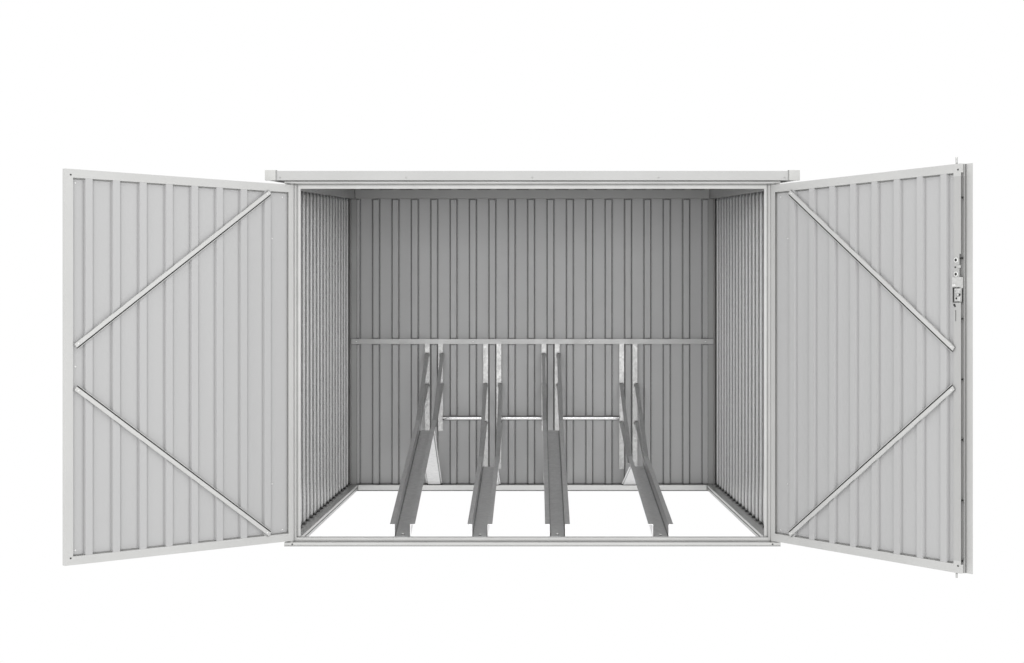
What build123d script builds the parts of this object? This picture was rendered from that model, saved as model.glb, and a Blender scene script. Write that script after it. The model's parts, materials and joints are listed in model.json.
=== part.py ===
from build123d import *
import math
import os

os.makedirs("parts", exist_ok=True)

# ---------------------------------------------------------------------------
# Bike shelter of folded sheet steel: open base frame, sheet walls, mono-pitch
# roof that rises to the back, two outward-opening doors, four wheel ramps.
# Millimetres.  X to the right, Y into the shelter, Z up.
# Origin: underside of the front base rail, at mid width, in the plane of the
# door stop.
# ---------------------------------------------------------------------------

# overall body
HALF_W = 1087.0          # half width over the base frame
DEPTH = 2240.0           # back face of the base frame
T = 1.5                  # wall thickness of folded profiles
TS = 1.0                 # thickness of profiled sheet
RAIL_W = 65.0            # base rail, plan width
FRONT_W = 30.0           # plan width of the front base rail behind the door plane
FOOT_H = 6.0             # the base rails stand on a foot set back from their face
FOOT_IN = 5.0
RAIL_H = 35.0            # base rail, height
STEP_Y = -30.0           # front face of the threshold ledge under the doors
STEP_Z = 17.0            # top of the threshold ledge

# door opening
OPEN_HW = 1021.0         # half width between the jamb lips
LIP_HW = 1038.0          # outer edge of the recessed stop lip
LIP_SET = 8.0            # the stop lip lies this far behind the jamb face
LIP_T = 3.0              # hemmed stop lip
HEAD_UP = 9.0            # the box of the head stands this far above its lip
HEAD_Z = 1570.0          # underside of the door head
LEDGE_Z0 = 1590.0        # underside of the head ledge over the doors
LEDGE_Z1 = 1598.0
POST_Y = 45.0            # back face of jambs and head

# roof plane
SLOPE = 0.066            # rise per unit of depth
TOP_Z = 1622.0           # frame top at Y = 0
ROOF_HW = 1162.5         # half width over the fascias
ROOF_Y0 = -62.0
ROOF_Y1 = 2302.0
FASCIA_DN = 21.0         # fascia bottom below the frame top plane
FASCIA_UP = 19.5         # fascia top above the frame top plane
FASCIA_T = 1.5

# profiled sheet
RIB_D = 15.0             # rib depth
RIB_W = 30.0             # rib width at its crown
WEB = 5.0                # plan width of each sloping web
WALL_PITCH = 113.9
WALL_X0 = -1032.6        # first rib of the back wall
SIDE_PITCH = 118.0
WALL_IN = 1068.0         # inner rib plane of the side walls
BACK_IN = 2221.0         # inner rib plane of the back wall

# doors (given closed, hinge edge at t = 0)
HINGE_X = 1057.0
HINGE_Y = -18.0
DOOR_Z0 = 24.0
DOOR_Z1 = 1584.0
DOOR_T = 22.0
FRAME_W = 34.0
LEFT_W = 1047.0
RIGHT_W = 1054.0
LOCK_STILE = 35.0
DOOR_RIB = 13.0          # rib depth of the door sheet
DOOR_WEB = 3.5
LEFT_OPEN = 138.5        # degrees open, as the piece stands
RIGHT_OPEN = 123.4
LEFT_RIBS = [126.5 + 117.1 * k for k in range(8)]
RIGHT_RIBS = [129.0 + 120.0 * k for k in range(8)]
PIN_R = 5.0
PIN_HOLE_R = 5.5

# lock
ROD_T = 1025.0           # rod centre from the hinge axis
HUB_T = 1040.0           # handle spindle from the hinge axis
HUB_R = 6.0
ROD_R = 4.0
ROD_TOP = 1611.0
ROD_BOTTOM = 4.0
KEEPER_R = 6.0
CASE_Z0 = 1055.0
CASE_Z1 = 1113.0
CASE_IN = 6.5            # the lock pocket reaches this far past the stile
PLATE_Z1 = 1152.0        # top of the plate over the lock
BOLT_Z = 1192.0          # latch bolt
HANDLE_Z = 1085.0

# wheel ramps
FLOOR_HW = 36.0
RAMP_LIP = 55.0
RAMP_WALL = 57.0
RAMP_T = 2.0
RAMP_Y0 = 12.0
STANDS = [               # centre X, rise per unit depth, ramp end Y, arm heights at the wall
    (-573.0, 0.245, 1500.0, 806.0, 627.0),
    (-231.5, 0.123, 1440.0, 630.0, 405.0),
    (110.5, 0.245, 1500.0, 806.0, 627.0),
    (566.0, 0.123, 1440.0, 630.0, 405.0),
]
POSTS_X = [WALL_X0 + WALL_PITCH * k for k in (4, 7, 10, 14)]
POST_Z0 = [350.0, 125.0, 350.0, 125.0]
WALL_RAIL_Z0 = 859.0
WALL_RAIL_Z1 = 888.0
POST_FRONT = 2204.0
TIE_Z = 426.0
TIE_R = 14.0

# anchor holes in the base frame
ANCHOR_X = 1000.0
ANCHOR_Y0 = 15.0
ANCHOR_Y1 = 2208.0
ANCHOR_R = 5.5


# ---------------------------------------------------------------------------
# helpers
# ---------------------------------------------------------------------------
def prism(points, axis, a, b):
    """Polygon in the two other axes, extruded along axis from a to b."""
    if axis == "x":
        pts = [(a, p, q) for p, q in points]
        d = (1, 0, 0)
    elif axis == "y":
        pts = [(p, a, q) for p, q in points]
        d = (0, 1, 0)
    else:
        pts = [(p, q, a) for p, q in points]
        d = (0, 0, 1)
    face = make_face(Polyline(*pts, close=True))
    return extrude(face, amount=b - a, dir=d)


def box(x0, x1, y0, y1, z0, z1):
    return Pos((x0 + x1) / 2, (y0 + y1) / 2, (z0 + z1) / 2) * Box(
        abs(x1 - x0), abs(y1 - y0), abs(z1 - z0))


def cyl_z(x, y, r, z0, z1):
    return Pos(x, y, (z0 + z1) / 2) * Cylinder(r, z1 - z0)


def cyl_x(y, z, r, x0, x1):
    return Pos((x0 + x1) / 2, y, z) * Rot(0, 90, 0) * Cylinder(r, x1 - x0)


def cyl_y(x, z, r, y0, y1):
    return Pos(x, (y0 + y1) / 2, z) * Rot(90, 0, 0) * Cylinder(r, y1 - y0)


def sheet_points(u0, u1, ribs, v_flat, v_rib, t, crown=RIB_W, web=WEB):
    """Trapezoidal sheet outline: u along the sheet, v across it."""
    top = [(u0, v_flat)]
    for c in ribs:
        top += [(c - crown / 2 - web, v_flat), (c - crown / 2, v_rib),
                (c + crown / 2, v_rib), (c + crown / 2 + web, v_flat)]
    top.append((u1, v_flat))
    low = [(u, v + t) for u, v in top]
    return top + low[::-1]


def slab_below(z_front, x0, x1, y0, y1, low=-50.0):
    """Wedge from low up to the plane z_front + SLOPE * y."""
    return prism([(y0, low), (y1, low), (y1, z_front + SLOPE * y1),
                  (y0, z_front + SLOPE * y0)], "x", x0, x1)


def save(shape, name):
    parts = shape.solids() if hasattr(shape, "solids") else [shape]
    out = Compound(children=list(parts)) if len(parts) > 1 else parts[0]
    export_step(out, f"parts/{name}.step")


# ---------------------------------------------------------------------------
# base frame
# ---------------------------------------------------------------------------
front = prism([(STEP_Y, 0), (FRONT_W, 0), (FRONT_W, RAIL_H), (0, RAIL_H),
               (0, STEP_Z), (STEP_Y, STEP_Z)], "x", -HALF_W, HALF_W)
front -= prism([(STEP_Y + T, T), (FRONT_W - T, T), (FRONT_W - T, RAIL_H - T),
                (T, RAIL_H - T), (T, STEP_Z - T), (STEP_Y + T, STEP_Z - T)],
               "x", -HALF_W + T, HALF_W - T)
for sx in (-1, 1):
    front -= cyl_z(sx * ANCHOR_X, ANCHOR_Y0, ANCHOR_R, -1, RAIL_H + 1)
    front -= cyl_z(sx * HINGE_X, HINGE_Y, PIN_HOLE_R, STEP_Z - 3, STEP_Z + 1)
front -= cyl_z(HINGE_X - ROD_T, HINGE_Y, KEEPER_R, STEP_Z - 3, STEP_Z + 1)
save(front, "base_front")

BR0 = DEPTH - RAIL_W
back = prism([(BR0 + FOOT_IN, 0), (DEPTH, 0), (DEPTH, RAIL_H), (BR0, RAIL_H),
              (BR0, FOOT_H), (BR0 + FOOT_IN, FOOT_H)], "x", -HALF_W, HALF_W)
back -= prism([(BR0 + FOOT_IN + T, T), (DEPTH - T, T), (DEPTH - T, RAIL_H - T),
               (BR0 + T, RAIL_H - T), (BR0 + T, FOOT_H + T), (BR0 + FOOT_IN + T, FOOT_H + T)],
              "x", -HALF_W + T, HALF_W - T)
for sx in (-1, 1):
    back -= cyl_z(sx * ANCHOR_X, ANCHOR_Y1, ANCHOR_R, -1, RAIL_H + 1)
save(back, "base_back")

sides = []
for sx in (-1, 1):
    xa, xb = HALF_W, HALF_W - RAIL_W
    # inner face with a shallow groove at mid height and a foot set back
    out = [(xa, 0), (xb + FOOT_IN, 0), (xb + FOOT_IN, FOOT_H), (xb, FOOT_H),
           (xb, 17.0), (xb + 3.0, 18.5), (xb + 3.0, 21.5), (xb, 23.0), (xb, RAIL_H), (xa, RAIL_H)]
    inn = [(xa - T, T), (xb + FOOT_IN + T, T), (xb + FOOT_IN + T, RAIL_H - T), (xa - T, RAIL_H - T)]
    s = prism([(sx * u, v) for u, v in out], "y", FRONT_W, BR0)
    s -= prism([(sx * u, v) for u, v in inn], "y", FRONT_W - 1, BR0 + 1)
    sides.append(s)
save(Compound(children=sides), "base_sides")

# ---------------------------------------------------------------------------
# posts, door head and top rails
# ---------------------------------------------------------------------------
jambs = []
for sx in (-1, 1):
    pts = [(sx * HALF_W, 0), (sx * LIP_HW, 0), (sx * LIP_HW, LIP_SET),
           (sx * OPEN_HW, LIP_SET), (sx * OPEN_HW, LIP_SET + LIP_T),
           (sx * LIP_HW, LIP_SET + LIP_T), (sx * LIP_HW, POST_Y), (sx * HALF_W, POST_Y)]
    inn = [(sx * (HALF_W - T), T), (sx * (LIP_HW + T), T),
           (sx * (LIP_HW + T), POST_Y - T), (sx * (HALF_W - T), POST_Y - T)]
    jambs.append(prism(pts, "z", RAIL_H, HEAD_Z)
                 - prism(inn, "z", RAIL_H - 1, HEAD_Z + 1))
save(Compound(children=jambs), "posts_front")

HB = HEAD_Z + HEAD_UP
head = prism([(LIP_SET, HEAD_Z), (LIP_SET + LIP_T, HEAD_Z), (LIP_SET + LIP_T, HB),
              (POST_Y, HB), (POST_Y, TOP_Z), (0, TOP_Z),
              (0, LEDGE_Z1), (STEP_Y, LEDGE_Z1), (STEP_Y, LEDGE_Z0),
              (LIP_SET, LEDGE_Z0)], "x", -HALF_W, HALF_W)
for sx in (-1, 1):
    head += box(sx * LIP_HW, sx * HALF_W, LIP_SET, POST_Y, HEAD_Z, HB)
head -= prism([(LIP_SET + T, HB + T), (POST_Y - T, HB + T),
               (POST_Y - T, TOP_Z - T), (T, TOP_Z - T), (T, LEDGE_Z1 - T),
               (STEP_Y + T, LEDGE_Z1 - T), (STEP_Y + T, LEDGE_Z0 + T),
               (LIP_SET + T, LEDGE_Z0 + T)], "x", -HALF_W - 1, HALF_W + 1)
for sx in (-1, 1):
    head += box(sx * LIP_HW, sx * HALF_W, 0, LIP_SET, HEAD_Z, LEDGE_Z0)
    head -= cyl_z(sx * HINGE_X, HINGE_Y, PIN_HOLE_R, LEDGE_Z0 - 1, LEDGE_Z1 + 1)
head -= cyl_z(HINGE_X - ROD_T, HINGE_Y, KEEPER_R, LEDGE_Z0 - 1, LEDGE_Z1 + 1)
save(head, "head_rail")

# side top rails follow the roof; folded channel open to the outside
SIDE_RAIL_Z = 1566.2
rails = []
for sx in (-1, 1):
    xi, xo = sx * (WALL_IN - 28.0), sx * (WALL_IN - 0.5)
    def rail_poly(dn, up, y0, y1):
        return [(y0, SIDE_RAIL_Z + dn + SLOPE * y0), (y1, SIDE_RAIL_Z + dn + SLOPE * y1),
                (y1, TOP_Z - up + SLOPE * y1), (y0, TOP_Z - up + SLOPE * y0)]
    r = prism(rail_poly(0, 0, POST_Y, BACK_IN - 29.0), "x", min(xi, xo), max(xi, xo))
    r -= prism(rail_poly(T, T, POST_Y - 1, BACK_IN - 28.0), "x",
               min(xi + sx * T, xo + sx), max(xi + sx * T, xo + sx))
    rails.append(r)
save(Compound(children=rails), "top_rail_sides")

yb0, yb1 = BACK_IN - 28.0, BACK_IN - 0.5
rb = prism([(yb0, SIDE_RAIL_Z + SLOPE * yb0), (yb1, SIDE_RAIL_Z + SLOPE * yb0),
            (yb1, TOP_Z + SLOPE * yb1), (yb0, TOP_Z + SLOPE * yb0)],
           "x", -(WALL_IN - 0.5), WALL_IN - 0.5)
rb -= prism([(yb0 + T, SIDE_RAIL_Z + T + SLOPE * yb0), (yb1 + 1, SIDE_RAIL_Z + T + SLOPE * yb0),
             (yb1 + 1, TOP_Z - T + SLOPE * (yb1 + 1)), (yb0 + T, TOP_Z - T + SLOPE * (yb0 + T))],
            "x", -WALL_IN, WALL_IN)
save(rb, "top_rail_back")

# corner angles at the back
angles = []
ang_top = SIDE_RAIL_Z + SLOPE * (BACK_IN - 40.0)
for sx in (-1, 1):
    a0, a1 = sx * (WALL_IN - 0.5), sx * (WALL_IN - 36.0)
    g = prism([(a0, BACK_IN - 0.5), (a1, BACK_IN - 0.5), (a1, BACK_IN - 0.5 - T),
               (a0 - sx * T, BACK_IN - 0.5 - T), (a0 - sx * T, BACK_IN - 36.0),
               (a0, BACK_IN - 36.0)], "z", RAIL_H, ang_top)
    angles.append(g)
save(Compound(children=angles), "posts_back")

# ---------------------------------------------------------------------------
# walls
# ---------------------------------------------------------------------------
side_ribs = [SIDE_PITCH * k + 98.0 for k in range(18)]
for sx, name in ((-1, "wall_left"), (1, "wall_right")):
    pts = sheet_points(POST_Y + 0.5, BACK_IN + RIB_D, side_ribs, WALL_IN + RIB_D, WALL_IN, TS)
    w = prism([(sx * v, u) for u, v in pts], "z", RAIL_H, 1850.0)
    w = w & slab_below(TOP_Z, sx * 1000, sx * 1120, 0, DEPTH + 10)
    save(w, name)

back_ribs = [WALL_X0 + WALL_PITCH * k for k in range(19)]
wb_z = TOP_Z + SLOPE * BACK_IN
wb = prism(sheet_points(-(WALL_IN + RIB_D), WALL_IN + RIB_D, back_ribs,
                        BACK_IN + RIB_D, BACK_IN, TS), "z", RAIL_H, wb_z)
wb -= box(-1200, -(WALL_IN + RIB_D - 0.5), BACK_IN + RIB_D - 5, BACK_IN + RIB_D, 0, 2000)
wb -= box(WALL_IN + RIB_D - 0.5, 1200, BACK_IN + RIB_D - 5, BACK_IN + RIB_D, 0, 2000)
save(wb, "wall_back")

# ---------------------------------------------------------------------------
# roof: profiled sheet, ribs up, inside a fascia frame
# ---------------------------------------------------------------------------
def up_slope(points, y0, y1):
    """Polygon (x, z above the roof plane) extruded along the roof slope."""
    pts = [(x, y0, z + TOP_Z + SLOPE * y0) for x, z in points]
    face = make_face(Polyline(*pts, close=True))
    length = math.hypot(1.0, SLOPE) * (y1 - y0)
    return extrude(face, amount=length, dir=(0, 1.0, SLOPE))


rw = ROOF_HW - FASCIA_T - 0.5
roof_ribs = [WALL_X0 - WALL_PITCH * 0 + WALL_PITCH * k for k in range(0, 19)]
roof_ribs = [r + 7.5 for r in roof_ribs]
rpts = [(u, v) for u, v in sheet_points(-rw, rw, roof_ribs, 0.3, 0.3 + RIB_D, TS)]
roof = up_slope(rpts, ROOF_Y0 + FASCIA_T + 0.5, ROOF_Y1 - FASCIA_T - 0.5)
save(roof, "roof_sheet")


def z_at(y, off):
    return TOP_Z + SLOPE * y + off


# front and back fascias: upright web, flange over the sheet edge, lip below
zb, zt = z_at(ROOF_Y0, -FASCIA_DN + 4.0), z_at(ROOF_Y0, FASCIA_UP + 4.0)
FZ0, FZ1 = 1601.0, 1641.5
ff = prism([(ROOF_Y0, FZ0), (ROOF_Y0 + 14, FZ0), (ROOF_Y0 + 14, FZ0 + FASCIA_T),
            (ROOF_Y0 + FASCIA_T, FZ0 + FASCIA_T), (ROOF_Y0 + FASCIA_T, FZ1 - FASCIA_T),
            (ROOF_Y0 + 24, FZ1 - FASCIA_T + SLOPE * 24), (ROOF_Y0 + 24, FZ1 + SLOPE * 24),
            (ROOF_Y0, FZ1)], "x", -ROOF_HW + 30, ROOF_HW - 30)
save(ff, "fascia_front")

BZ = SLOPE * (ROOF_Y1 - ROOF_Y0)
fb = prism([(ROOF_Y1, FZ0 + BZ), (ROOF_Y1 - 14, FZ0 + BZ), (ROOF_Y1 - 14, FZ0 + BZ + FASCIA_T),
            (ROOF_Y1 - FASCIA_T, FZ0 + BZ + FASCIA_T), (ROOF_Y1 - FASCIA_T, FZ1 + BZ - FASCIA_T),
            (ROOF_Y1 - 24, FZ1 + BZ - FASCIA_T - SLOPE * 24), (ROOF_Y1 - 24, FZ1 + BZ - SLOPE * 24),
            (ROOF_Y1, FZ1 + BZ)], "x", -ROOF_HW + 30, ROOF_HW - 30)
save(fb, "fascia_back")

OFF0 = FZ0 - z_at(ROOF_Y0, 0)
OFF1 = FZ1 - z_at(ROOF_Y0, 0)
fs = []
for sx in (-1, 1):
    pts = [(sx * ROOF_HW, OFF0), (sx * (ROOF_HW - 14), OFF0),
           (sx * (ROOF_HW - 14), OFF0 + FASCIA_T), (sx * (ROOF_HW - FASCIA_T), OFF0 + FASCIA_T),
           (sx * (ROOF_HW - FASCIA_T), OFF1 - FASCIA_T), (sx * (ROOF_HW - 24), OFF1 - FASCIA_T),
           (sx * (ROOF_HW - 24), OFF1), (sx * ROOF_HW, OFF1)]
    fs.append(up_slope(pts, ROOF_Y0 + 30, ROOF_Y1 - 30))
save(Compound(children=fs), "fascia_sides")

# corner caps close the four fascia corners: two flanks and a top, folded
CAP = 44.0
CT = 3.0
caps = []
for sx in (-1, 1):
    for end in (0, 1):
        xo = sx * (ROOF_HW + 0.2)
        lo, hi = OFF0 - 1.0, OFF1 + 3.5
        side = [(xo, lo), (xo + sx * CT, lo), (xo + sx * CT, hi), (xo, hi)]
        front_pl = [(xo + sx * CT, lo), (xo - sx * CAP, lo), (xo - sx * CAP, hi), (xo + sx * CT, hi)]
        top_pl = [(xo + sx * CT, hi - 2.0), (xo - sx * CAP, hi - 2.0), (xo - sx * CAP, hi), (xo + sx * CT, hi)]
        if end == 0:
            ya, yb, yc = ROOF_Y0 - 0.2 - CT, ROOF_Y0 - 0.2, ROOF_Y0 + CAP
        else:
            ya, yb, yc = ROOF_Y1 + 0.2 + CT, ROOF_Y1 + 0.2, ROOF_Y1 - CAP
        c = up_slope(side, min(ya, yc), max(ya, yc))
        c += up_slope(front_pl, min(ya, yb), max(ya, yb))
        c += up_slope(top_pl, min(ya, yc), max(ya, yc))
        caps.append(c)
save(Compound(children=caps), "corner_caps")

# ---------------------------------------------------------------------------
# inside: wall rail, uprights, tie tubes, ramps, guides, legs
# ---------------------------------------------------------------------------
wr = box(-(WALL_IN - 2.5), WALL_IN - 2.5, POST_FRONT, BACK_IN - 2.5, WALL_RAIL_Z0, WALL_RAIL_Z1)
wr -= box(-(WALL_IN + 1), WALL_IN + 1, POST_FRONT + T, BACK_IN, WALL_RAIL_Z0 + T, WALL_RAIL_Z1 - T)
save(wr, "wall_rail")

UP = 53.0
UI = 25.0
uprights = []
for x, z0 in zip(POSTS_X, POST_Z0):
    y0, y1 = POST_FRONT, BACK_IN - 2.5
    for sx in (-1, 1):
        pts = [(x + sx * UI, y0), (x + sx * UP, y0), (x + sx * UP, y0 + T),
               (x + sx * (UI + T), y0 + T), (x + sx * (UI + T), y1), (x + sx * UI, y1)]
        uprights.append(prism(pts, "z", z0, WALL_RAIL_Z0))
save(Compound(children=uprights), "holder_uprights")

ties = []
for a, b in zip(POSTS_X[:-1], POSTS_X[1:]):
    y = POST_FRONT - 1.0
    t = cyl_x(y, TIE_Z, TIE_R, a + UP, b - UP)
    t -= cyl_x(y, TIE_Z, TIE_R - T, a + UP - 1, b - UP + 1)
    ties.append(t)
save(Compound(children=ties), "tie_tubes")

legs = []
for i, (x, tan, ya, zg, zl) in enumerate(STANDS):
    z_end = RAIL_H + tan * (ya - RAMP_Y0)
    # ramp: hat section, open at the top, vertical ends
    prof = [(-RAMP_LIP, RAMP_WALL), (-RAMP_LIP, RAMP_WALL - RAMP_T),
            (-FLOOR_HW, RAMP_WALL - RAMP_T), (-FLOOR_HW, 0), (FLOOR_HW, 0),
            (FLOOR_HW, RAMP_WALL - RAMP_T), (RAMP_LIP, RAMP_WALL - RAMP_T),
            (RAMP_LIP, RAMP_WALL), (FLOOR_HW - RAMP_T, RAMP_WALL),
            (FLOOR_HW - RAMP_T, RAMP_T), (-FLOOR_HW + RAMP_T, RAMP_T),
            (-FLOOR_HW + RAMP_T, RAMP_WALL)]
    pts = [(x + p, RAMP_Y0, RAIL_H + q) for p, q in prof]
    f = make_face(Polyline(*pts, close=True))
    ln = math.hypot(1.0, tan) * (ya - RAMP_Y0)
    ramp = extrude(f, amount=ln, dir=(0, 1.0, tan))
    save(ramp, f"ramp_{i + 1}")

    # guides: an upper and a lower angle on each side, spreading apart towards
    # the uprights; each has a lip turned outwards
    ye = POST_FRONT - 0.5
    gs = []
    for z_a, z_b, leg in ((z_end + RAMP_WALL, zg, 20.0), (z_end + 18.0, zl, 16.0)):
        web = [(ya, z_a - leg), (ya, z_a), (ye, z_b), (ye, z_b - leg)]
        lip = [(ya, z_a - RAMP_T), (ya, z_a), (ye, z_b), (ye, z_b - RAMP_T)]
        for sx in (-1, 1):
            a, b = x + sx * (FLOOR_HW - RAMP_T), x + sx * FLOOR_HW
            c = x + sx * RAMP_LIP
            g = prism(web, "x", min(a, b), max(a, b))
            g += prism(lip, "x", min(b, c), max(b, c))
            gs.append(g)
    save(Compound(children=gs), f"guide_{i + 1}")

    # leg: shallow hat section from the ramp end down to the back rail
    y0, z0 = ya + 2.0, z_end - 1.0
    y1, z1 = BR0 + 8.0, RAIL_H
    tl = (z1 - z0) / (y1 - y0)
    lw, ll, ld = 36.0, 46.0, 14.0
    lp = [(-lw, 0), (lw, 0), (lw, ld - T), (ll, ld - T), (ll, ld), (lw - T, ld),
          (lw - T, T), (-lw + T, T), (-lw + T, ld), (-ll, ld), (-ll, ld - T), (-lw, ld - T)]
    # section drawn in the horizontal plane and swept down the slope
    p3 = [(x + p, y0 + q, z0) for p, q in lp]
    f = make_face(Polyline(*p3, close=True))
    legs.append(extrude(f, amount=math.hypot(y1 - y0, z1 - z0),
                        dir=(0, y1 - y0, z1 - z0)))
save(Compound(children=legs), "ramp_legs")

# ---------------------------------------------------------------------------
# doors, drawn closed as the left leaf; the right leaf is mirrored in X
# ---------------------------------------------------------------------------
HT = DOOR_T / 2


def door_frame(width, stile):
    """t along X from the hinge axis, y + inwards."""
    f = box(0, width, -HT, HT, DOOR_Z0, DOOR_Z1)
    f += cyl_z(0, 0, HT, DOOR_Z0, DOOR_Z1)
    # hollow, open towards the sheet
    f -= box(HT, width - T, -HT + T, HT - T, DOOR_Z0 + T, DOOR_Z1 - T)
    f -= box(FRAME_W - 12, width - stile, -HT - 1, HT + 1,
             DOOR_Z0 + FRAME_W, DOOR_Z1 - FRAME_W)
    f -= (box(0, HT + 1, -HT + T, HT - T, DOOR_Z0 + 32, DOOR_Z1 - 32)
          + cyl_z(0, 0, HT - T, DOOR_Z0 + 32, DOOR_Z1 - 32))
    # outer lips of the top and bottom rails, behind the ends of the sheet
    for za, zb in ((DOOR_Z0 + FRAME_W - 1, DOOR_Z0 + FRAME_W + 12),
                   (DOOR_Z1 - FRAME_W - 12, DOOR_Z1 - FRAME_W + 1)):
        f += box(FRAME_W - 13, width - stile + 1, -HT, -HT + T, za, zb)
    # bores for the pins
    f -= cyl_z(0, 0, PIN_R, DOOR_Z0 - 1, DOOR_Z0 + 40)
    f -= cyl_z(0, 0, PIN_R, DOOR_Z1 - 40, DOOR_Z1 + 1)
    return f


def door_sheet(width, stile, ribs):
    a, b = FRAME_W - 12 + 0.3, width - stile - 0.3
    top = HT - TS - 0.3
    pts = sheet_points(a, b, ribs, top - DOOR_RIB, top, TS, crown=30.0, web=DOOR_WEB)
    z0, z1 = DOOR_Z0 + FRAME_W + 0.3, DOOR_Z1 - FRAME_W - 0.3
    s = prism(pts, "z", z0, z1)
    s -= box(a - 1, b + 1, -HT, HT - 5.0, z1 - 5.0, z1 + 1)
    s -= box(a - 1, b + 1, -HT, HT - 5.0, z0 - 1, z0 + 5.0)
    return s


def bar(t0, z0, t1, z1, w, y0, y1):
    dx, dz = t1 - t0, z1 - z0
    n = math.hypot(dx, dz)
    nx, nz = -dz / n * w / 2, dx / n * w / 2
    return prism([(t0 + nx, z0 + nz), (t1 + nx, z1 + nz), (t1 - nx, z1 - nz),
                  (t0 - nx, z0 - nz)], "y", y0, y1)


BRACE_W = 24.0
BRACE_H = 7.0            # height of the brace over the ribs
BRACE_SLOT = 5.5         # open slot along the side nearer to mid height
BRACE_LIP = 2.0
BRACE_MID = (DOOR_Z0 + DOOR_Z1) / 2


def door_braces(width, stile, te):
    out = []
    for sz in (-1, 1):
        a = (118.0, BRACE_MID + sz * 737.0)
        full = (width - stile + 2.0, BRACE_MID + sz * 72.0)
        q = (te - a[0]) / (full[0] - a[0])
        e = (te, a[1] + (full[1] - a[1]) * q)
        b = bar(a[0], a[1], e[0], e[1], BRACE_W, HT, HT + BRACE_H)
        # slot along the mid-height side, open to the inside
        dx, dz = e[0] - a[0], e[1] - a[1]
        n = math.hypot(dx, dz)
        nx, nz = -dz / n, dx / n
        if nz * sz > 0:
            nx, nz = -nx, -nz
        off = BRACE_W / 2 - BRACE_LIP - BRACE_SLOT / 2
        ux, uz = dx / n * 3, dz / n * 3
        b -= bar(a[0] + nx * off - ux, a[1] + nz * off - uz, e[0] + nx * off + ux,
                 e[1] + nz * off + uz, BRACE_SLOT, HT + 1.2, HT + BRACE_H + 1)
        out.append(b)
    return Compound(children=out)


def door_pins():
    low = cyl_z(0, 0, PIN_R, 5.0, DOOR_Z0 + 30)
    top = cyl_z(0, 0, PIN_R, DOOR_Z1 - 30, LEDGE_Z1 - 1.0)
    return Compound(children=[low, top])


def place_left(s):
    return Pos(-HINGE_X, HINGE_Y, 0) * Rot(0, 0, -LEFT_OPEN) * s


def place_right(s):
    m = mirror(s, about=Plane.YZ)
    return Pos(HINGE_X, HINGE_Y, 0) * Rot(0, 0, RIGHT_OPEN) * m


save(place_left(door_frame(LEFT_W, FRAME_W)), "door_left_frame")
save(place_left(door_sheet(LEFT_W, FRAME_W, LEFT_RIBS)), "door_left_sheet")
save(place_left(door_braces(LEFT_W, FRAME_W, 1003.0)), "door_left_braces")
save(place_left(door_pins()), "door_left_pins")

rf = door_frame(RIGHT_W, LOCK_STILE)
# the lock stile is closed on the sheet side and open along its free end
rf += box(RIGHT_W - LOCK_STILE, RIGHT_W - LOCK_STILE + T, -HT, HT,
          DOOR_Z0 + FRAME_W, DOOR_Z1 - FRAME_W)
rf -= box(RIGHT_W - T - 1, RIGHT_W + 1, -HT + T, HT - T, DOOR_Z0 + T, DOOR_Z1 - T)
# return lip of the outer skin, and corner inserts that leave a narrow slit
rf += box(RIGHT_W - T, RIGHT_W, -HT + T - 0.2, -6.5, DOOR_Z0, DOOR_Z1)
for za, zb in ((DOOR_Z0, DOOR_Z0 + FRAME_W), (DOOR_Z1 - FRAME_W, DOOR_Z1)):
    rf += box(RIGHT_W - T, RIGHT_W, -3.5, HT - T + 0.2, za, zb)
# pocket for the lock body beside the stile
LS = RIGHT_W - LOCK_STILE
rf += box(LS - CASE_IN, LS + 1, -HT + 3.0, HT, CASE_Z0 - T, CASE_Z1 + T)
rf -= box(LS - CASE_IN + T, LS + T + 1, -HT + 3.0 + T, HT + 1, CASE_Z0, CASE_Z1)
# way for the lock rods through the top and bottom of the stile
rf -= cyl_z(ROD_T, 0, ROD_R + 0.6, DOOR_Z0 - 1, DOOR_Z0 + 3)
rf -= cyl_z(ROD_T, 0, ROD_R + 0.6, DOOR_Z1 - 3, DOOR_Z1 + 1)
# spindle hole in the outer skin, and the lock window in the inner skin
rf -= cyl_y(HUB_T, HANDLE_Z, HUB_R + 1.0, -HT - 1, 0)
rf -= box(LS - 1, RIGHT_W + 1, HT - T - 1, HT + 1, CASE_Z0, CASE_Z1)
# cut-out of the inner skin by the latch bolt
rf -= box(RIGHT_W - 7, RIGHT_W + 1, HT - T - 1, HT + 1, PLATE_Z1 + 1, 1240.0)
stile_cut = box(LS - 20, RIGHT_W + 5, -HT - 5, HT + 5, DOOR_Z0 + FRAME_W + 13, DOOR_Z1 - FRAME_W - 13)
save(place_right(rf & stile_cut), "lock_stile")
save(place_right(rf - stile_cut), "door_right_frame")
rs = door_sheet(RIGHT_W, LOCK_STILE, RIGHT_RIBS)
rs -= box(LS - CASE_IN - 0.4, LS + 1, -HT, HT, CASE_Z0 - T - 0.4, CASE_Z1 + T + 0.4)
save(place_right(rs), "door_right_sheet")
save(place_right(door_braces(RIGHT_W, LOCK_STILE, 1022.0)), "door_right_braces")
save(place_right(door_pins()), "door_right_pins")

# cover strip on the outer face, set off so that it laps over the other leaf
AW = 34.0
ast = prism([(RIGHT_W - 6, -HT), (RIGHT_W, -HT), (RIGHT_W, -HT - 5.5),
             (RIGHT_W + AW, -HT - 5.5), (RIGHT_W + AW, -HT - 7.0),
             (RIGHT_W - T, -HT - 7.0), (RIGHT_W - T, -HT - T), (RIGHT_W - 6, -HT - T)],
            "z", DOOR_Z0, DOOR_Z1)
save(place_right(ast), "cover_strip")

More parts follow.
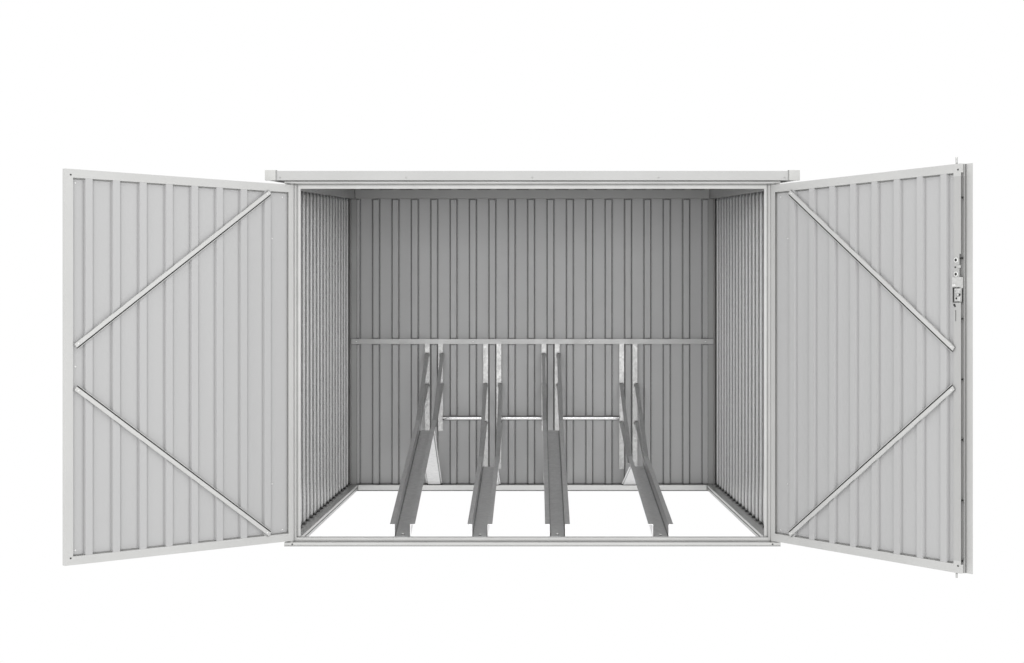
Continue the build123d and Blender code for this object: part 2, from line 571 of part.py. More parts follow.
# lock body in the window of the stile, with a plate over the open end above it
y8 = HT - T - 1.0
case = box(RIGHT_W - 33, RIGHT_W - 2, -y8, y8, CASE_Z0 + 3, CASE_Z1 - 3)
case += box(RIGHT_W - 8, RIGHT_W - 2, -y8, y8, CASE_Z1 - 3, PLATE_Z1)
case -= cyl_z(ROD_T, 0, ROD_R + 0.6, CASE_Z0, CASE_Z1)
case -= cyl_y(HUB_T, HANDLE_Z, HUB_R + 0.5, -HT, HT)
# plate over the lock and latch bolt, on the inner face
plate = box(LS - CASE_IN, RIGHT_W, HT, HT + 1.2, CASE_Z1 + 2.0, PLATE_Z1)
bolt = box(RIGHT_W - 15, RIGHT_W, HT, HT + 2.0, BOLT_Z - 5, BOLT_Z + 5)
save(place_right(Compound(children=[*case.solids(), plate, bolt])), "lock_case")

# rods, one up and one down, inside the stile
rod_top = cyl_z(ROD_T, 0, ROD_R, HANDLE_Z + 16, ROD_TOP)
rod_bot = cyl_z(ROD_T, 0, ROD_R, ROD_BOTTOM, HANDLE_Z - 40)
save(place_right(rod_top), "lock_rod_top")
save(place_right(rod_bot), "lock_rod_bottom")

# turning handle: spindle through the lock body, boss and lever on the outer face
hd = cyl_y(HUB_T, HANDLE_Z, HUB_R, -HT - 8.0, HT + 1.0)
hd += cyl_y(HUB_T, HANDLE_Z, 13.0, -HT - 20.0, -HT - 8.0)
hd += box(HUB_T - 8, HUB_T + 8, -HT - 20.0, -HT - 12.0, HANDLE_Z - 95, HANDLE_Z)
save(place_right(hd), "door_handle")
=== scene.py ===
import json
import math
import random

import bpy
from mathutils import Matrix, Vector


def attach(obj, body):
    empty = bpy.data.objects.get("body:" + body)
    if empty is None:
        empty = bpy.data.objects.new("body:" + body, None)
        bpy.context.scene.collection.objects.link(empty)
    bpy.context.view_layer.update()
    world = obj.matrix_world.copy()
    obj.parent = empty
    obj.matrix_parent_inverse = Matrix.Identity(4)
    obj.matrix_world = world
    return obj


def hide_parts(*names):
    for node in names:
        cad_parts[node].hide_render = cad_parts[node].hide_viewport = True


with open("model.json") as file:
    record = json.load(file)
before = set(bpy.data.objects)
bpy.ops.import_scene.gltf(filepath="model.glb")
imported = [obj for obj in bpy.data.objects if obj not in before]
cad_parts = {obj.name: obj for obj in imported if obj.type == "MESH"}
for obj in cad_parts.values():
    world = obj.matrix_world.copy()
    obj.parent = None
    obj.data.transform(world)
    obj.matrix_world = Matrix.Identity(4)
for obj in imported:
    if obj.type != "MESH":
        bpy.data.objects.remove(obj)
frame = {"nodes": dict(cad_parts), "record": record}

random.seed(7)
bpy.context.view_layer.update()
NODES = frame["nodes"]
MM = 0.001


# ---------------------------------------------------------------------------
# materials
# ---------------------------------------------------------------------------
def new_material(name):
    m = bpy.data.materials.new(name)
    m.use_nodes = True
    nt = m.node_tree
    bsdf = nt.nodes["Principled BSDF"]
    return m, nt, bsdf


def noise(nt, coord, scale, detail=2.0, stretch=None):
    n = nt.nodes.new("ShaderNodeTexNoise")
    n.inputs["Scale"].default_value = scale
    n.inputs["Detail"].default_value = detail
    if stretch:
        mp = nt.nodes.new("ShaderNodeMapping")
        mp.inputs["Scale"].default_value = stretch
        nt.links.new(coord, mp.inputs["Vector"])
        nt.links.new(mp.outputs["Vector"], n.inputs["Vector"])
    else:
        nt.links.new(coord, n.inputs["Vector"])
    return n.outputs["Fac"]


def ramp(nt, fac, lo, hi, p0=0.3, p1=0.7):
    r = nt.nodes.new("ShaderNodeValToRGB")
    r.color_ramp.elements[0].position = p0
    r.color_ramp.elements[1].position = p1
    r.color_ramp.elements[0].color = (*lo, 1.0)
    r.color_ramp.elements[1].color = (*hi, 1.0)
    nt.links.new(fac, r.inputs["Fac"])
    return r.outputs["Color"]


def span(nt, fac, lo, hi):
    r = nt.nodes.new("ShaderNodeMapRange")
    r.inputs["From Min"].default_value = 0.3
    r.inputs["From Max"].default_value = 0.7
    r.inputs["To Min"].default_value = lo
    r.inputs["To Max"].default_value = hi
    nt.links.new(fac, r.inputs["Value"])
    return r.outputs["Result"]


def bump(nt, height, strength, distance, bsdf):
    b = nt.nodes.new("ShaderNodeBump")
    b.inputs["Strength"].default_value = strength
    b.inputs["Distance"].default_value = distance
    nt.links.new(height, b.inputs["Height"])
    nt.links.new(b.outputs["Normal"], bsdf.inputs["Normal"])


def shade_creases(nt, colour, reach, dark, lo=0.60, hi=0.96):
    """Paints shade into a colour: darkens it by ambient occlusion in folds and tight gaps, where shade falls."""
    ao = nt.nodes.new("ShaderNodeAmbientOcclusion")
    ao.samples = 4
    ao.inputs["Distance"].default_value = reach
    mr = nt.nodes.new("ShaderNodeMapRange")
    mr.interpolation_type = "SMOOTHSTEP"
    mr.inputs["From Min"].default_value = lo
    mr.inputs["From Max"].default_value = hi
    mr.inputs["To Min"].default_value = dark
    nt.links.new(ao.outputs["AO"], mr.inputs["Value"])
    mx = nt.nodes.new("ShaderNodeMix")
    mx.data_type = "RGBA"
    mx.blend_type = "MULTIPLY"
    mx.inputs["Factor"].default_value = 1.0
    nt.links.new(colour, mx.inputs["A"])
    nt.links.new(mr.outputs["Result"], mx.inputs["B"])
    return mx.outputs["Result"]


def painted(name, base, rough=(0.40, 0.50), peel=700.0, streak=None, spread=0.03,
            reach=0.010, dark=0.35, metal=0.0, fold=(0.60, 0.96)):
    """Light-grey coated steel: faint tone drift, fine peel and uneven gloss, with painted shade darkening its folds
    and gaps.
    """
    m, nt, bsdf = new_material(name)
    tc = nt.nodes.new("ShaderNodeTexCoord").outputs["Object"]
    lo = tuple(c * (1 - spread) for c in base)
    hi = tuple(min(1.0, c * (1 + spread)) for c in base)
    big = noise(nt, tc, 3.2, 3.0, stretch=streak)
    tone = ramp(nt, big, lo, hi)
    # painted shade in folds and gaps, from ambient occlusion
    if dark:
        tone = shade_creases(nt, tone, reach, dark, *fold)
    nt.links.new(tone, bsdf.inputs["Base Color"])
    bsdf.inputs["Metallic"].default_value = metal
    nt.links.new(span(nt, noise(nt, tc, 14.0, 2.0), *rough), bsdf.inputs["Roughness"])
    bump(nt, noise(nt, tc, peel, 1.0), 0.10, 0.0004, bsdf)
    bsdf.inputs["Specular IOR Level"].default_value = 0.35
    return m


def zinc(name, base, rough=(0.30, 0.42), scale=70.0, spread=0.10, metal=1.0,
         reach=0.008, dark=0.30, fold=(0.60, 0.96)):
    """Galvanised steel: spangle patches that differ in tone and gloss, with painted shade darkening its folds and
    gaps.
    """
    m, nt, bsdf = new_material(name)
    tc = nt.nodes.new("ShaderNodeTexCoord").outputs["Object"]
    vo = nt.nodes.new("ShaderNodeTexVoronoi")
    vo.inputs["Scale"].default_value = scale
    nt.links.new(tc, vo.inputs["Vector"])
    sep = nt.nodes.new("ShaderNodeSeparateColor")
    nt.links.new(vo.outputs["Color"], sep.inputs["Color"])
    lo = tuple(c * (1 - spread) for c in base)
    hi = tuple(min(1.0, c * (1 + spread)) for c in base)
    tone = ramp(nt, sep.outputs["Red"], lo, hi, 0.0, 1.0)
    # painted shade in folds and gaps, from ambient occlusion
    if dark:
        tone = shade_creases(nt, tone, reach, dark, *fold)
    nt.links.new(tone, bsdf.inputs["Base Color"])
    mr = nt.nodes.new("ShaderNodeMapRange")
    mr.inputs["To Min"].default_value = rough[0]
    mr.inputs["To Max"].default_value = rough[1]
    nt.links.new(sep.outputs["Green"], mr.inputs["Value"])
    nt.links.new(mr.outputs["Result"], bsdf.inputs["Roughness"])
    bump(nt, noise(nt, tc, 240.0, 2.0), 0.08, 0.0005, bsdf)
    bsdf.inputs["Metallic"].default_value = metal
    return m


# Coats with dark above zero get painted shade in their folds, gaps and slots; the lower dark, the deeper that shade.
M_FRAME = painted("frame_coat", (0.58, 0.58, 0.57), rough=(0.34, 0.44), metal=0.08)
M_RAIL = painted("rail_coat", (0.66, 0.66, 0.65), rough=(0.30, 0.40), metal=0.35, dark=0.2)
M_CROSS = painted("cross_rail_coat", (0.56, 0.56, 0.555), rough=(0.34, 0.42), metal=0.15, dark=0.2)
# brace coat: strong painted shade darkens the brace's slot and its edges
M_BRACE = painted("brace_coat", (0.62, 0.62, 0.61), rough=(0.34, 0.44), metal=0.08, reach=0.011,
                  dark=0.04, fold=(0.42, 0.94))
# lock stile: darker than the frame coat, near the door sheet's tone; strong painted shade darkens its open slot
M_STILE = painted("stile_recess_coat", (0.47, 0.47, 0.462), rough=(0.40, 0.50), reach=0.018, dark=0.22,
                  fold=(0.40, 0.92))
# top rails: a darker copy of the frame coat, painted shade for the rails up under the roof
M_TOP = painted("top_rail_coat", (0.46, 0.46, 0.455), rough=(0.34, 0.44), dark=0.35)
# back corner posts: a darker copy of the frame coat, painted shade for the shaded back corners
M_POST = painted("post_coat", (0.40, 0.40, 0.395), rough=(0.34, 0.44), metal=0.2, dark=0.6)
# fascia: a darker copy of the frame coat, painted shade that evens out the fuller front light on it
M_FASCIA = painted("fascia_coat", (0.50, 0.50, 0.492), rough=(0.40, 0.50))
M_DOOR = painted("door_sheet_coat", (0.50, 0.50, 0.50), rough=(0.38, 0.48),
                 peel=420.0, streak=(1.0, 1.0, 0.12), spread=0.015, reach=0.012, dark=0.72)
# the wall sheets are lighter copies of the door sheet coat, painted light against the dimmer light inside, with strong
# painted shade in their rib grooves
M_SHEET = painted("sheet_coat", (0.56, 0.56, 0.56), rough=(0.38, 0.48),
                  peel=420.0, streak=(1.0, 1.0, 0.12), spread=0.02, reach=0.011, dark=0.05)
M_SIDE = painted("side_sheet_coat", (0.66, 0.66, 0.66), rough=(0.28, 0.35), metal=0.55,
                 peel=420.0, streak=(1.0, 1.0, 0.12), spread=0.02, reach=0.022, dark=0.02,
                 fold=(0.70, 0.97))
M_ROOF = painted("roof_coat", (0.56, 0.56, 0.56), rough=(0.38, 0.48),
                 peel=420.0, streak=(1.0, 0.12, 1.0), spread=0.02, reach=0.012, dark=0.10)
M_CAP = painted("cap_plastic", (0.58, 0.58, 0.565), rough=(0.5, 0.6), peel=900.0)
M_ZINC = zinc("galvanised", (0.80, 0.80, 0.80), spread=0.05, metal=0.8)
M_LEG = zinc("galvanised_leg", (0.80, 0.80, 0.80), spread=0.05, metal=0.5, reach=0.014, dark=0.06,
             fold=(0.55, 0.97))
M_STRIP = zinc("zinc_strip", (0.56, 0.56, 0.555), rough=(0.38, 0.5), metal=0.55, reach=0.012, dark=0.12)
M_GUIDE = zinc("galvanised_guide", (0.68, 0.68, 0.68), spread=0.05, metal=0.8, reach=0.014, dark=0.15)
M_TUBE = zinc("zinc_tube", (0.62, 0.62, 0.62), rough=(0.09, 0.15), spread=0.03)
M_LOCK = zinc("lock_zinc", (0.70, 0.70, 0.69), scale=160.0, spread=0.05, metal=0.5)
M_ROD = zinc("rod_zinc", (0.52, 0.52, 0.51), scale=120.0, spread=0.06)
M_SCREW = zinc("screw_zinc", (0.85, 0.85, 0.84), scale=300.0, spread=0.04, metal=0.3, dark=0)
# near-black coat for holes, slots and hollows: painted shade where light doesn't reach
M_SHADE_BLACK = painted("painted_recess_shade", (0.030, 0.030, 0.029), rough=(0.5, 0.7), peel=900.0, dark=0)
M_BUSH = painted("bush_plastic", (0.58, 0.58, 0.565), rough=(0.4, 0.55), peel=900.0)

NODE_MATERIAL = {
    "sheet": M_SHEET, "frame": M_FRAME, "bare_steel": M_ZINC, "lock": M_LOCK,
}
slots = {s["node"]: s["material_slot"] for s in frame["record"]["subparts"]}
for name, obj in NODES.items():
    mat = NODE_MATERIAL.get(slots.get(name), M_FRAME)
    if name == "roof_sheet":
        mat = M_ROOF
    if name == "corner_caps":
        mat = M_CAP
    if name in ("door_left_sheet", "door_right_sheet"):
        mat = M_DOOR
    if name in ("wall_left", "wall_right"):
        mat = M_SIDE
    if name in ("base_back", "base_sides"):
        mat = M_RAIL
    if name == "wall_rail":
        mat = M_CROSS
    if name in ("door_left_braces", "door_right_braces"):
        mat = M_BRACE
    if name.startswith("guide_"):
        mat = M_GUIDE
    if name.startswith("top_rail"):
        mat = M_TOP
    if name == "ramp_legs":
        mat = M_LEG
    if name == "lock_stile":
        mat = M_STILE
    if name == "posts_back":
        mat = M_POST
    if name.startswith("fascia"):
        mat = M_FASCIA
    if name == "holder_uprights":
        mat = M_STRIP
    if name == "tie_tubes":
        mat = M_TUBE
    if name.startswith("lock_rod"):
        mat = M_ROD
    for s in obj.material_slots:
        s.material = mat


# ---------------------------------------------------------------------------
# mesh building
# ---------------------------------------------------------------------------
class Mesh:
    def __init__(self, place=None):
        self.v, self.f, self.place = [], [], place

    def add(self, verts, faces):
        n = len(self.v)
        for p in verts:
            p = Vector(p)
            self.v.append(self.place(p) if self.place else p)
        self.f += [[i + n for i in f] for f in faces]

    def box(self, a, b, chamfer=0.0):
        x0, y0, z0 = (min(p, q) for p, q in zip(a, b))
        x1, y1, z1 = (max(p, q) for p, q in zip(a, b))
        c = chamfer
        if c <= 0:
            vs = [(x, y, z) for x in (x0, x1) for y in (y0, y1) for z in (z0, z1)]
            fs = [(0, 1, 3, 2), (4, 6, 7, 5), (0, 4, 5, 1), (2, 3, 7, 6), (0, 2, 6, 4), (1, 5, 7, 3)]
            self.add(vs, fs)
            return
        vs, idx = [], {}
        for i, x in enumerate((x0, x1)):
            for j, y in enumerate((y0, y1)):
                for k, z in enumerate((z0, z1)):
                    sx, sy, sz = (1, -1)[i], (1, -1)[j], (1, -1)[k]
                    for ax, off in enumerate(((0, c, c), (c, 0, c), (c, c, 0))):
                        idx[(i, j, k, ax)] = len(vs)
                        vs.append((x + sx * off[0], y + sy * off[1], z + sz * off[2]))
        fs = []
        for ax in range(3):
            o = [q for q in range(3) if q != ax]
            for s in (0, 1):
                quad = []
                for u, w in ((0, 0), (1, 0), (1, 1), (0, 1)):
                    key = [0, 0, 0]
                    key[ax], key[o[0]], key[o[1]] = s, u, w
                    quad.append(idx[(*key, ax)])
                fs.append(quad)
        for ax in range(3):                       # edges along ax
            o = [q for q in range(3) if q != ax]
            for u in (0, 1):
                for w in (0, 1):
                    k0, k1 = [0, 0, 0], [0, 0, 0]
                    k0[o[0]], k0[o[1]] = u, w
                    k1[o[0]], k1[o[1]] = u, w
                    k1[ax] = 1
                    fs.append([idx[(*k0, o[0])], idx[(*k1, o[0])], idx[(*k1, o[1])], idx[(*k0, o[1])]])
        for i in (0, 1):
            for j in (0, 1):
                for k in (0, 1):
                    fs.append([idx[(i, j, k, 0)], idx[(i, j, k, 1)], idx[(i, j, k, 2)]])
        self.add(vs, fs)

    def lathe(self, origin, axis, profile, n=14, cap=True):
        """profile: list of (radius, height) from the base outwards."""
        axis = Vector(axis).normalized()
        u = axis.orthogonal().normalized()
        w = axis.cross(u)
        o = Vector(origin)
        vs, fs = [], []
        for r, h in profile:
            for k in range(n):
                a = 2 * math.pi * k / n
                vs.append(o + axis * h + (u * math.cos(a) + w * math.sin(a)) * r)
        for i in range(len(profile) - 1):
            for k in range(n):
                k2 = (k + 1) % n
                fs.append((i * n + k, i * n + k2, (i + 1) * n + k2, (i + 1) * n + k))
        if cap:
            fs.append(tuple(reversed(range(n))))
            fs.append(tuple(range((len(profile) - 1) * n, len(profile) * n)))
        self.add(vs, fs)

    def pan(self, origin, axis, r=4.0 * MM, h=2.4 * MM, n=14):
        """Pan head with a washer rim and a cross recess made as a dimple."""
        self.lathe(origin, axis, [(r * 1.25, 0), (r * 1.25, h * 0.25), (r, h * 0.3), (r * 0.92, h * 0.75),
                                  (r * 0.6, h), (r * 0.32, h), (r * 0.25, h * 0.45)], n)

    def hexhead(self, origin, axis, r=4.5 * MM, h=3.6 * MM):
        """Flanged hexagon head as on sheet screws."""
        self.lathe(origin, axis, [(r * 1.75, 0), (r * 1.7, h * 0.28), (r * 1.1, h * 0.34)], 16)
        self.lathe(Vector(origin) + Vector(axis).normalized() * h * 0.3, axis,
                   [(r * 1.05, 0), (r * 1.05, h * 0.6), (r * 0.85, h * 0.72)], 6)

    def rivet(self, origin, axis, r=3.6 * MM, h=1.3 * MM, n=12):
        self.lathe(origin, axis, [(r, 0), (r * 0.96, h * 0.45), (r * 0.7, h), (r * 0.34, h * 0.95), (r * 0.30, h * 0.35)], n)

    def make(self, name, mat, body, slot, smooth=True, angle=35):
        me = bpy.data.meshes.new(name)
        me.from_pydata([tuple(p) for p in self.v], [], self.f)
        me.validate()
        me.update()
        if smooth:
            me.polygons.foreach_set("use_smooth", [True] * len(me.polygons))
            me.set_sharp_from_angle(angle=math.radians(angle))
        me.materials.append(mat)
        ob = bpy.data.objects.new(name, me)
        bpy.context.scene.collection.objects.link(ob)
        # outward normals
        import bmesh
        bm = bmesh.new()
        bm.from_mesh(me)
        bmesh.ops.recalc_face_normals(bm, faces=bm.faces)
        bm.to_mesh(me)
        bm.free()
        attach(ob, body)
        return ob


HX, HY = 1.057, -0.018
LEFT_OPEN, RIGHT_OPEN = math.radians(138.5), math.radians(123.4)
RL = Matrix.Rotation(-LEFT_OPEN, 3, "Z")
RR = Matrix.Rotation(RIGHT_OPEN, 3, "Z")


def on_left(p):
    return RL @ Vector(p) + Vector((-HX, HY, 0))


def on_right(p):
    return RR @ Vector((-p[0], p[1], p[2])) + Vector((HX, HY, 0))


class DoorMesh(Mesh):
    """Built in the closed door's own axes: t from the hinge, y inwards, z up."""
    def __init__(self, side):
        super().__init__(on_left if side == "left" else on_right)


# sizes repeated from the model, in metres
HT = 0.011
DZ0, DZ1 = 0.024, 1.584
LEFT_W, RIGHT_W, FRAME_W = 1.047, 1.054, 0.034
ROD_T, HUB_T, HANDLE_Z = 1.025, 1.040, 1.085
FLAT_Y = -0.0023         # inner face of the flats of the door sheet
SLOPE = 0.066

# ---------------------------------------------------------------------------
# doors: screws, rivets, lock details
# ---------------------------------------------------------------------------
for side, width in (("left", LEFT_W), ("right", RIGHT_W)):
    s = DoorMesh(side)
    ribs = [0.1265 + 0.1171 * k for k in range(8)] if side == "left" else [0.129 + 0.120 * k for k in range(8)]
    inn = (0, 1, 0)
    out = (0, -1, 0)
    # rivets through the ribs near the top and bottom rails, seen from outside
    for c in ribs[::2] + [ribs[-1]]:
        for z in (DZ0 + FRAME_W + 0.020, DZ1 - FRAME_W - 0.020):
            s.rivet((c, HT - 0.0013, z), out, r=0.0030)
    # screws in the flats of the sheet
    flat = [(0.045, 1.528), (0.045, 0.076), (0.098 if side == "left" else 0.090, 1.3455),
            (0.098 if side == "left" else 0.090, 0.280)]
    if side == "left":
        flat += [(0.998, 1.532), (0.998, 0.805), (0.998, 0.079)]
    for t, z in flat:
        s.pan((t, FLAT_Y, z), inn, r=0.0030)
    # corner fixings of the frame on the outer face
    for t in (0.018, width - 0.017):
        for z in (DZ0 + 0.017, DZ1 - 0.017):
            s.rivet((t, -HT, z), out)
    # brace fixings
    te = 1.003 if side == "left" else 1.022
    run, rise = (LEFT_W if side == "left" else RIGHT_W) - (FRAME_W if side == "left" else 0.035) + 0.002 - 0.118, 0.665
    for sz in (-1, 1):
        for t in (0.130, te - 0.012):
            dz = 0.737 - (t - 0.118) * rise / run
            s.pan((t + 0.0022, HT + 0.007, 0.804 + sz * (dz + 0.0030)), inn, r=0.0034)
    s.make(f"door_{side}_fixings", M_SCREW, f"door_{side}", "frame")
    # open blind rivets in the inner corners, drawn near-black: painted shade in their hollows
    s = DoorMesh(side)
    for z in (DZ0 + 0.028, DZ1 - 0.023):
        s.lathe((width - (0.024 if side == "left" else 0.013), HT, z), inn,
                [(0.0034, 0), (0.0032, 0.0007), (0.0024, 0.0009), (0.0020, 0.0003)], 16)
    s.make(f"door_{side}_corner_rivets", M_SHADE_BLACK, f"door_{side}", "frame")

# lock stile: spacers seen in the open slot, drawn near-black as painted shade inside the slot
s = DoorMesh("right")
for z in (0.070, 0.301, 0.532, 0.762, 0.993, 1.224, 1.455):
    s.lathe((RIGHT_W - 0.006, -0.0094, z), (0, 1, 0), [(0.003, 0), (0.003, 0.0188)], 12)
s.make("lock_stile_spacers", M_SHADE_BLACK, "door_right", "lock")

# keyhole rosettes beside the latch bolt
s = DoorMesh("right")
for z in (1.1634, 1.2172):
    s.lathe((1.031, HT, z), (0, 1, 0), [(0.0100, 0), (0.0098, 0.0012), (0.0090, 0.0018), (0.0060, 0.0018), (0.0058, 0.0004)], 28)
s.box((1.0145, HT + 0.0012, 1.1165), (1.0300, HT + 0.0024, 1.1255), 0.0004)
s.make("lock_rosettes", M_SCREW, "door_right", "lock")
# keyholes and slots drawn near-black: painted shade inside the holes
s = DoorMesh("right")
for z in (1.1634, 1.2172):
    s.lathe((1.031, HT, z), (0, 1, 0), [(0.0058, 0), (0.0058, 0.0012), (0.0030, 0.0013)], 18)
s.lathe((1.0275, HT, 1.190), (0, 1, 0), [(0.0034, 0), (0.0033, 0.0008), (0.0014, 0.0010)], 14)
s.box((1.0290, HT, 0.984), (1.0314, HT + 0.0004, 1.026))
s.lathe((1.0235, HT, 1.046), (0, 1, 0), [(0.0042, 0), (0.0040, 0.002), (0.0024, 0.003)], 16)
s.lathe((1.0270, HT, 1.0415), (0, 1, 0), [(0.0034, 0), (0.0032, 0.0015), (0.0020, 0.002)], 14)
s.make("lock_holes", M_SHADE_BLACK, "door_right", "lock")

# lock works in the window
s = DoorMesh("right")
yk = 0.0085
s.box((1.0225, yk, 1.0890), (1.0475, yk + 0.0024, 1.1090), 0.0006)
s.lathe((1.0300, yk + 0.0024, 1.0990), (0, 1, 0), [(0.0052, 0), (0.0050, 0.0006), (0.0040, 0.0008)], 20)
s.box((1.0225, yk, 1.0600), (1.0480, yk + 0.0020, 1.0790), 0.0006)
s.make("lock_works", M_LOCK, "door_right", "lock")
# holes in the lock works, drawn near-black: painted shade inside them
s = DoorMesh("right")
s.lathe((1.0320, yk + 0.0020, 1.0710), (0, 1, 0), [(0.0042, 0), (0.0040, 0.0005), (0.0018, 0.0006)], 16)
s.lathe((1.0490, 0.0085, 1.0855), (0, 1, 0), [(0.0030, 0), (0.0030, 0.0028), (0.0012, 0.0029)], 14)
# mouth of the dead bolt in the edge of the case, a near-black strip of painted shade
s.box((1.0515, -0.0036, 1.0580), (1.0524, 0.0036, 1.1100))
s.lathe((1.0300, yk + 0.0032, 1.0990), (0, 1, 0), [(0.0016, 0), (0.0015, 0.0004), (0.0006, 0.0005)], 10)
s.make("lock_key_holes", M_SHADE_BLACK, "door_right", "lock")
s = DoorMesh("right")
s.lathe((HUB_T, HT + 0.0010, HANDLE_Z), (0, 1, 0), [(0.0050, 0), (0.0048, 0.0008), (0.0026, 0.0010)], 20)
s.make("spindle_end", M_LOCK, "handle", "lock")

# outer handle, rounded lever in place of the plain one
s = DoorMesh("right")
y0 = -HT - 0.020
s.lathe((HUB_T, HT + 0.001, HANDLE_Z), (0, -1, 0), [(0.006, 0), (0.006, 0.020)], 20)
s.lathe((HUB_T, -HT - 0.0075, HANDLE_Z), (0, -1, 0),
        [(0.0130, 0), (0.0130, 0.0015), (0.0105, 0.0022), (0.0100, 0.0100), (0.0088, 0.0125)], 28)
prev = None
vs, fs = [], []
N = 16
rings = []
for k in range(13):
    q = k / 12
    z = HANDLE_Z + 0.004 - 0.098 * q
    hw = 0.0076 - 0.0016 * math.sin(q * math.pi) if k < 12 else 0.005
    yc = -HT - 0.0158 - 0.0012 * math.sin(q * math.pi)
    hy = 0.0036 if k < 12 else 0.0024
    ring = []
    for j in range(N):
        a = 2 * math.pi * j / N
        ca, sa = math.cos(a), math.sin(a)
        ring.append((HUB_T + hw * math.copysign(abs(ca) ** 0.6, ca), yc + hy * math.copysign(abs(sa) ** 0.6, sa), z))
    rings.append(ring)
for r in rings:
    vs += r
for k in range(12):
    for j in range(N):
        j2 = (j + 1) % N
        fs.append((k * N + j, k * N + j2, (k + 1) * N + j2, (k + 1) * N + j))
fs.append(tuple(range(N)))
fs.append(tuple(reversed(range(12 * N, 13 * N))))
s.add(vs, fs)
lever = s.make("handle_lever", M_LOCK, "handle", "lock", angle=50)
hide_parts("door_handle")

# ---------------------------------------------------------------------------
# shell: fixings
# ---------------------------------------------------------------------------
s = Mesh()
# wall rail screws
for x in (-1.0315, -0.348, 0.3335, 1.014):
    s.pan((x, 2.204, 0.8735), (0, -1, 0), r=0.0036)
# ramp bolts on the front rail
STANDS = [(-0.573, 0.245, 1.500, 0.806, 0.627), (-0.2315, 0.123, 1.440, 0.630, 0.405),
          (0.1105, 0.245, 1.500, 0.806, 0.627), (0.566, 0.123, 1.440, 0.630, 0.405)]
POSTS = [-1.0326 + 0.1139 * k for k in (4, 7, 10, 14)]
for (x, tn, ya, zg, zl), px in zip(STANDS, POSTS):
    s.pan((x, 0.034, 0.0405 + tn * 0.022 + 0.0005), (0, -tn, 1), r=0.0042)
s.make("stand_fixings", M_SCREW, "shell", "bare_steel")

# roof screws on the rib crowns over the frame, front and back
s = Mesh()
ribs = [-1.0326 + 0.0075 + 0.1139 * k for k in range(19)]
for x in ribs[::2]:
    for y in (0.022, 1.10, 2.20):
        z = 1.622 + SLOPE * y + 0.0003 + 0.015 + 0.001
        s.hexhead((x, y, z), (0, -SLOPE, 1), r=0.004, h=0.0040)
for sx in (-1, 1):
    for y in (0.25, 0.70, 1.15, 1.60, 2.05):
        z = 1.622 + SLOPE * y + 0.0013
        s.hexhead((sx * 1.0600, y, z), (0, -SLOPE, 1), r=0.004, h=0.0040)
s.make("roof_screws", M_SCREW, "shell", "frame")

# wall screws in the outer grooves, into the top rails and wall rail
s = Mesh()
side_ribs = [0.098 + 0.118 * k for k in range(18)]
for sx in (-1, 1):
    for y in side_ribs[::2]:
        s.hexhead((sx * 1.0690, y, 1.600 + SLOPE * y), (sx, 0, 0), r=0.004, h=0.0040)
back_ribs = [-1.0326 + 0.1139 * k for k in range(19)]
for x in back_ribs[::2]:
    for z in (0.8735, 1.742):
        s.hexhead((x, 2.222, z), (0, 1, 0), r=0.004, h=0.0040)
s.make("wall_screws", M_SCREW, "shell", "frame")

# fascia rivets
s = Mesh()
for x in (-1.10, -0.55, 0.0, 0.55, 1.10):
    s.rivet((x, -0.062, 1.612), (0, -1, 0), r=0.003)
    s.rivet((x, 2.302, 1.612 + SLOPE * 2.364), (0, 1, 0), r=0.003)
for sx in (-1, 1):
    for y in (0.10, 0.65, 1.20, 1.75, 2.20):
        s.rivet((sx * 1.1625, y, 1.622 + SLOPE * y - 0.008), (sx, 0, 0), r=0.003)
s.make("fascia_rivets", M_FASCIA, "shell", "frame")

# nylon bushes under and over the door pins
s = Mesh()
for sx in (-1, 1):
    s.lathe((sx * HX, HY, 0.017), (0, 0, 1), [(0.0058, 0), (0.0108, 0), (0.0108, 0.0056), (0.0102, 0.0062), (0.0058, 0.0062)], 24, cap=False)
    s.lathe((sx * HX, HY, 1.590), (0, 0, -1), [(0.0058, 0), (0.0108, 0), (0.0108, 0.0046), (0.0102, 0.0052), (0.0058, 0.0052)], 24, cap=False)
s.make("pin_bushes", M_BUSH, "shell", "lock")
# pivot screws in the face of the threshold, drawn as near-black dots of painted shade
s = Mesh()
for sx in (-1, 1):
    s.lathe((sx * 1.052, -0.030, 0.0095), (0, -1, 0), [(0.0034, 0), (0.0034, 0.0006), (0.0016, 0.0007)], 14)
s.make("pin_screws", M_SHADE_BLACK, "shell", "lock")

# ---------------------------------------------------------------------------
# floor, light, camera
# ---------------------------------------------------------------------------
me = bpy.data.meshes.new("floor")
F = 60.0
me.from_pydata([(-F, -F, 0), (F, -F, 0), (F, F, 0), (-F, F, 0)], [], [(0, 1, 2, 3)])
floor = bpy.data.objects.new("floor", me)
bpy.context.scene.collection.objects.link(floor)
m, nt, bsdf = new_material("floor_pale")
bsdf.inputs["Base Color"].default_value = (0.60, 0.60, 0.60, 1)
bsdf.inputs["Roughness"].default_value = 0.9
bsdf.inputs["Specular IOR Level"].default_value = 0.1
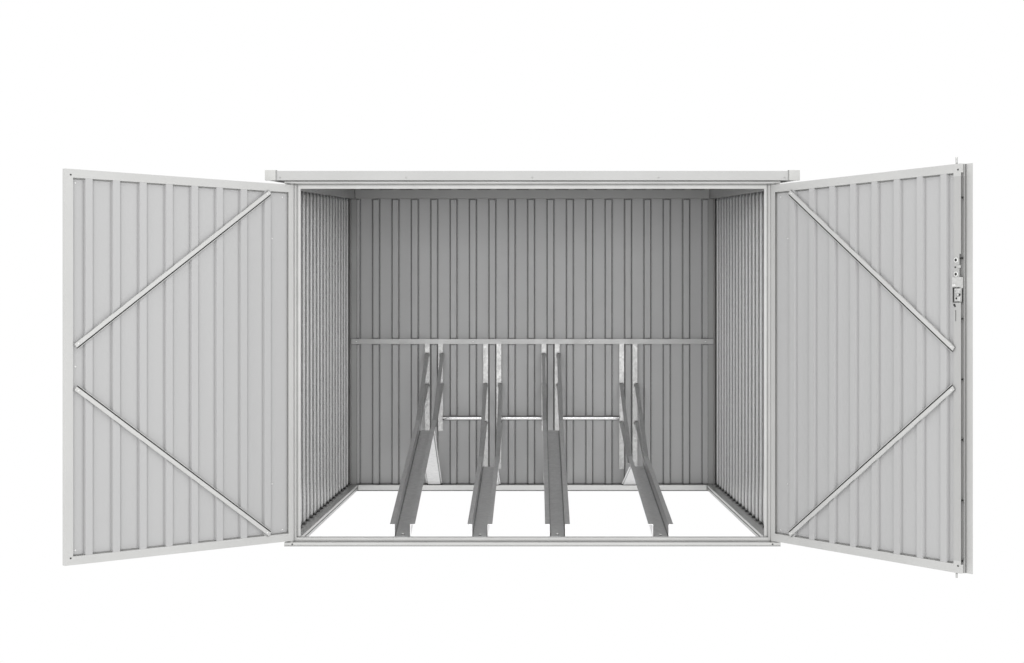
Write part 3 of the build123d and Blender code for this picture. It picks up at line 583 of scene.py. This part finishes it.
# a lit white studio floor: plain white where it is seen or mirrored, a little less where it
# throws light up
glow = nt.nodes.new("ShaderNodeEmission")
glow.inputs["Color"].default_value = (1, 1, 1, 1)
glow.inputs["Strength"].default_value = 1.0
lift = nt.nodes.new("ShaderNodeEmission")
lift.inputs["Color"].default_value = (1, 1, 1, 1)
lift.inputs["Strength"].default_value = 0.45
both = nt.nodes.new("ShaderNodeAddShader")
nt.links.new(bsdf.outputs[0], both.inputs[0])
nt.links.new(lift.outputs[0], both.inputs[1])
path = nt.nodes.new("ShaderNodeLightPath")
seen = nt.nodes.new("ShaderNodeMath")
seen.operation = "MAXIMUM"
nt.links.new(path.outputs["Is Camera Ray"], seen.inputs[0])
nt.links.new(path.outputs["Is Glossy Ray"], seen.inputs[1])
mix = nt.nodes.new("ShaderNodeMixShader")
nt.links.new(seen.outputs["Value"], mix.inputs[0])
nt.links.new(both.outputs[0], mix.inputs[1])
nt.links.new(glow.outputs[0], mix.inputs[2])
nt.links.new(mix.outputs[0], nt.nodes["Material Output"].inputs["Surface"])
me.materials.append(m)
floor.location.z = -0.0005

world = bpy.data.worlds.new("studio")
bpy.context.scene.world = world
world.use_nodes = True
bg = world.node_tree.nodes["Background"]
bg.inputs["Color"].default_value = (1, 1, 1, 1)
bg.inputs["Strength"].default_value = 1.0

# one wide soft box in front, above the camera
key = bpy.data.lights.new("soft_box", "AREA")
key.shape = "RECTANGLE"
key.size, key.size_y = 7.0, 2.4
key.energy = 300.0
key_ob = bpy.data.objects.new("soft_box", key)
bpy.context.scene.collection.objects.link(key_ob)
key_ob.location = (0.0, -10.5, 1.25)
key_ob.rotation_euler = (math.radians(90), 0, 0)
key_ob.visible_camera = False

cam_data = bpy.data.cameras.new("camera")
cam = bpy.data.objects.new("camera", cam_data)
bpy.context.scene.collection.objects.link(cam)
cam.location = (0.0, -6.644, 0.968)
cam.rotation_euler = (math.radians(90), 0, 0)
cam_data.sensor_width = 36.0
cam_data.lens = 53.09
cam_data.shift_x = -20.4 / 1024
cam_data.shift_y = -6.1 / 1024
cam_data.clip_end = 200.0
bpy.context.scene.camera = cam
bpy.context.scene.view_settings.view_transform = "Standard"
